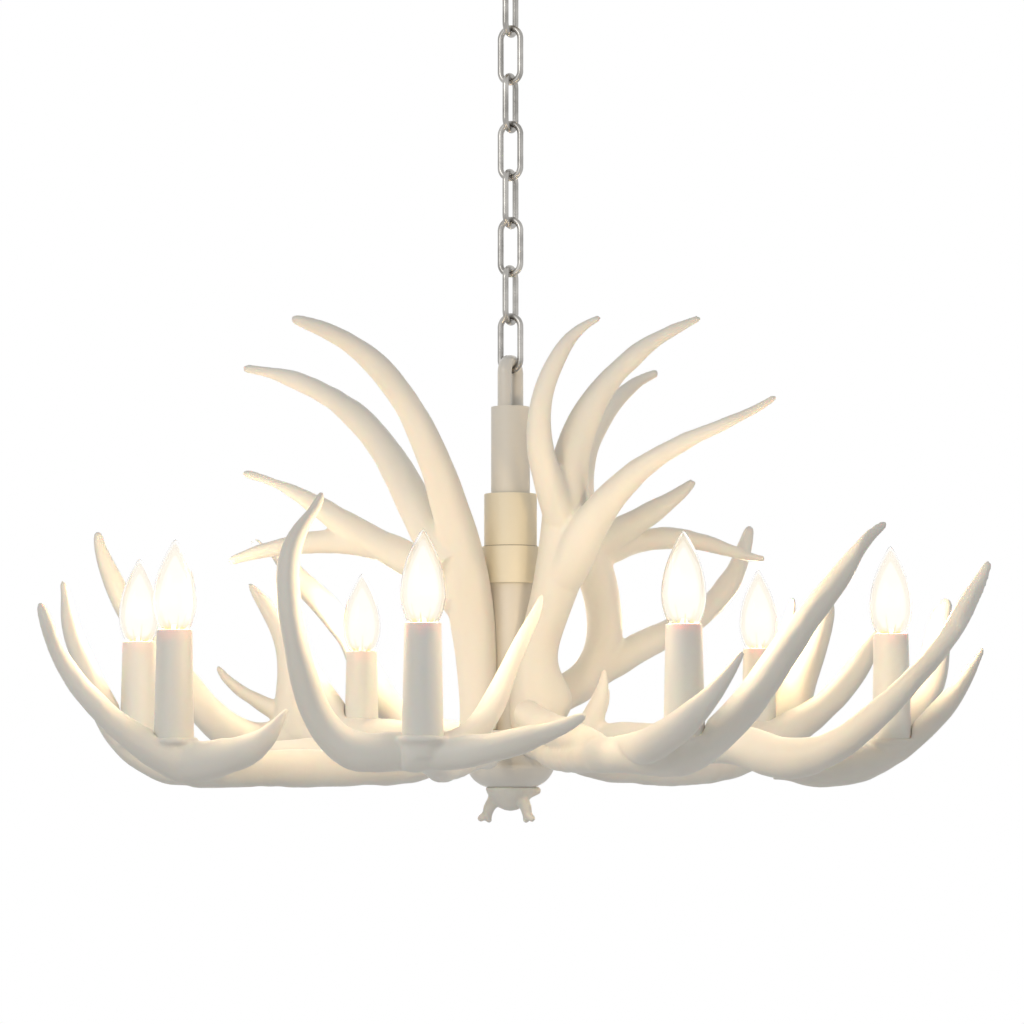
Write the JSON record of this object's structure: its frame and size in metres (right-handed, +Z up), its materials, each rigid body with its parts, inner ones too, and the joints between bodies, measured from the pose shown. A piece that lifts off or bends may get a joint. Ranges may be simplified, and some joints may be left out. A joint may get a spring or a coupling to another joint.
{
  "type": "antler chandelier",
  "caption": "Chain-hung chandelier of ivory cast antlers: a ring of low antlers carries candle sleeves with flame bulbs, and tall antlers rise round the central column.",
  "frame": {"origin": "centre of the two screw slots of the mounting bar, in the plane of the ceiling", "axes": "+Z up into the ceiling, -Y towards the picture's viewer, +X to the viewer's right"},
  "size_m": [0.7728, 0.6967, 0.7627],
  "materials": {
    "antler_resin": "cast resin painted matte ivory white, fine soft grain",
    "ivory_paint": "smooth satin ivory paint",
    "ceiling_paint": "smooth satin ivory paint",
    "brushed_nickel": "satin nickel plate",
    "zinc_steel": "zinc plate",
    "brass": "turned brass",
    "holder_plastic": "moulded white plastic",
    "candle_sleeve": "matte ivory candle tube",
    "bulb_glass": "clear glass, lit warm white",
    "bulb_cap": "nickel-plated brass screw cap"
  },
  "bodies": {
    "ceiling": {"canopy": "ceiling_paint", "mounting_bar": "zinc_steel", "canopy_loop": "brushed_nickel", "stem_locknut": "zinc_steel"},
    "chain_link_1": {"chain_link_1": "brushed_nickel"},
    "chain_link_2": {"chain_link_2": "brushed_nickel"},
    "chain_link_3": {"chain_link_3": "brushed_nickel"},
    "chain_link_4": {"chain_link_4": "brushed_nickel"},
    "chain_link_5": {"chain_link_5": "brushed_nickel"},
    "chain_link_6": {"chain_link_6": "brushed_nickel"},
    "chain_link_7": {"chain_link_7": "brushed_nickel"},
    "chain_link_8": {"chain_link_8": "brushed_nickel"},
    "lamp": {"lamp_loop": "ivory_paint", "upper_tube": "ivory_paint", "upper_collar": "ivory_paint", "lower_sleeve": "ivory_paint", "centre_tube": "ivory_paint", "centre_rod": "zinc_steel", "hub_drum": "ivory_paint", "bottom_bowl": "ivory_paint", "finial": "antler_resin", "antler_screws": "zinc_steel", "lampholders": "holder_plastic", "candle_nipples": "brass", "candle_nuts": "brass", "upper_antler_left": "antler_resin", "upper_antler_right": "antler_resin", "upper_antler_back": "antler_resin", "lower_antler_1": "antler_resin", "lower_antler_2": "antler_resin", "lower_antler_3": "antler_resin", "lower_antler_4": "antler_resin", "lower_antler_5": "antler_resin", "lower_antler_6": "antler_resin", "lower_antler_7": "antler_resin", "lower_antler_8": "antler_resin", "candle_sleeve_1": "candle_sleeve", "candle_sleeve_2": "candle_sleeve", "candle_sleeve_3": "candle_sleeve", "candle_sleeve_4": "candle_sleeve", "candle_sleeve_5": "candle_sleeve", "candle_sleeve_6": "candle_sleeve", "candle_sleeve_7": "candle_sleeve", "candle_sleeve_8": "candle_sleeve"},
    "bulb_1": {"bulb_glass_1": "bulb_glass", "bulb_cap_1": "bulb_cap"},
    "bulb_2": {"bulb_glass_2": "bulb_glass", "bulb_cap_2": "bulb_cap"},
    "bulb_3": {"bulb_glass_3": "bulb_glass", "bulb_cap_3": "bulb_cap"},
    "bulb_4": {"bulb_glass_4": "bulb_glass", "bulb_cap_4": "bulb_cap"},
    "bulb_5": {"bulb_glass_5": "bulb_glass", "bulb_cap_5": "bulb_cap"},
    "bulb_6": {"bulb_glass_6": "bulb_glass", "bulb_cap_6": "bulb_cap"},
    "bulb_7": {"bulb_glass_7": "bulb_glass", "bulb_cap_7": "bulb_cap"},
    "bulb_8": {"bulb_glass_8": "bulb_glass", "bulb_cap_8": "bulb_cap"}
  },
  "joints": [
    {"name": "link_1_swing", "type": "hinge", "parent": "ceiling", "child": "chain_link_1", "pos_m": [0, 0, -0.0528], "axis": [0.891, -0.454, 0], "range_deg": [-12, 12]},
    {"name": "link_2_swing", "type": "hinge", "parent": "chain_link_1", "child": "chain_link_2", "pos_m": [0, 0, -0.09395], "axis": [0.454, 0.891, 0], "range_deg": [-12, 12]},
    {"name": "link_3_swing", "type": "hinge", "parent": "chain_link_2", "child": "chain_link_3", "pos_m": [0, 0, -0.1353], "axis": [0.891, -0.454, 0], "range_deg": [-12, 12]},
    {"name": "link_4_swing", "type": "hinge", "parent": "chain_link_3", "child": "chain_link_4", "pos_m": [0, 0, -0.17665], "axis": [0.454, 0.891, 0], "range_deg": [-12, 12]},
    {"name": "link_5_swing", "type": "hinge", "parent": "chain_link_4", "child": "chain_link_5", "pos_m": [0, 0, -0.218], "axis": [0.891, -0.454, 0], "range_deg": [-12, 12]},
    {"name": "link_6_swing", "type": "hinge", "parent": "chain_link_5", "child": "chain_link_6", "pos_m": [0, 0, -0.25935], "axis": [0.454, 0.891, 0], "range_deg": [-12, 12]},
    {"name": "link_7_swing", "type": "hinge", "parent": "chain_link_6", "child": "chain_link_7", "pos_m": [0, 0, -0.3007], "axis": [0.891, -0.454, 0], "range_deg": [-12, 12]},
    {"name": "link_8_swing", "type": "hinge", "parent": "chain_link_7", "child": "chain_link_8", "pos_m": [0, 0, -0.34205], "axis": [0.454, 0.891, 0], "range_deg": [-12, 12]},
    {"name": "lamp_swing", "type": "hinge", "parent": "chain_link_8", "child": "lamp", "pos_m": [0, 0, -0.3834], "axis": [0.891, -0.454, 0], "range_deg": [-12, 12]},
    {"name": "bulb_1_out", "type": "slide", "parent": "lamp", "child": "bulb_1", "axis": [0, 0, 1], "range_m": [0, 0.03]},
    {"name": "bulb_2_out", "type": "slide", "parent": "lamp", "child": "bulb_2", "axis": [0, 0, 1], "range_m": [0, 0.03]},
    {"name": "bulb_3_out", "type": "slide", "parent": "lamp", "child": "bulb_3", "axis": [0, 0, 1], "range_m": [0, 0.03]},
    {"name": "bulb_4_out", "type": "slide", "parent": "lamp", "child": "bulb_4", "axis": [0, 0, 1], "range_m": [0, 0.03]},
    {"name": "bulb_5_out", "type": "slide", "parent": "lamp", "child": "bulb_5", "axis": [0, 0, 1], "range_m": [0, 0.03]},
    {"name": "bulb_6_out", "type": "slide", "parent": "lamp", "child": "bulb_6", "axis": [0, 0, 1], "range_m": [0, 0.03]},
    {"name": "bulb_7_out", "type": "slide", "parent": "lamp", "child": "bulb_7", "axis": [0, 0, 1], "range_m": [0, 0.03]},
    {"name": "bulb_8_out", "type": "slide", "parent": "lamp", "child": "bulb_8", "axis": [0, 0, 1], "range_m": [0, 0.03]}
  ]
}
